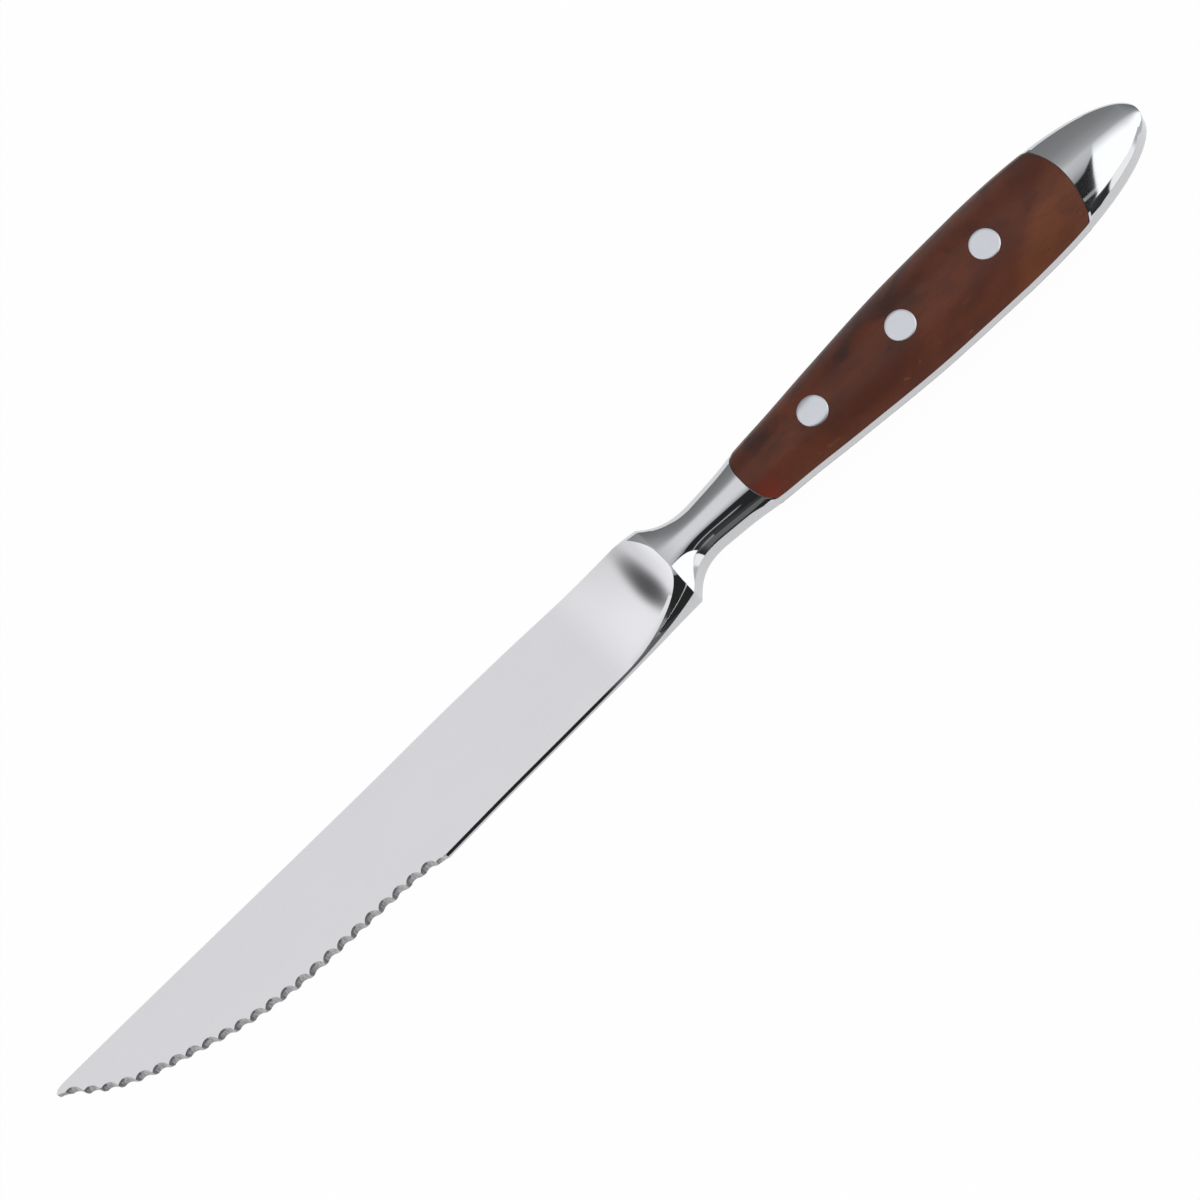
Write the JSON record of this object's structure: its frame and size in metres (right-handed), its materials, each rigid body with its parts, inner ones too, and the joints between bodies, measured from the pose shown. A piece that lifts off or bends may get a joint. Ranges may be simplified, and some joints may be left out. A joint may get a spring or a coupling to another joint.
{
  "type": "steak knife",
  "caption": "Serrated steak knife, forged in one piece with its bolster, full tang and pommel, with riveted wooden scales on both sides of the handle.",
  "frame": {"origin": "centre of the knife's outline seen from its face, at the lowest point of the handle's back face: the knife lies on its side", "axes": "+X from the tip towards the pommel, +Y from the cutting edge towards the spine, +Z out of the face that the serrations are ground on"},
  "size_m": [0.23, 0.019, 0.0108],
  "materials": {
    "steel": "stainless steel, satin ground blade faces, mirror polished bolster and pommel",
    "wood": "dark reddish brown hardwood, oiled satin",
    "rivet_metal": "satin, ground flush with the wood"
  },
  "bodies": {
    "root": {"blade_and_tang": "steel", "front_scale": "wood", "back_scale": "wood", "rivet_sleeve_1": "rivet_metal", "rivet_sleeve_2": "rivet_metal", "rivet_sleeve_3": "rivet_metal", "rivet_pin_1": "rivet_metal", "rivet_pin_2": "rivet_metal", "rivet_pin_3": "rivet_metal"}
  },
  "joints": []
}
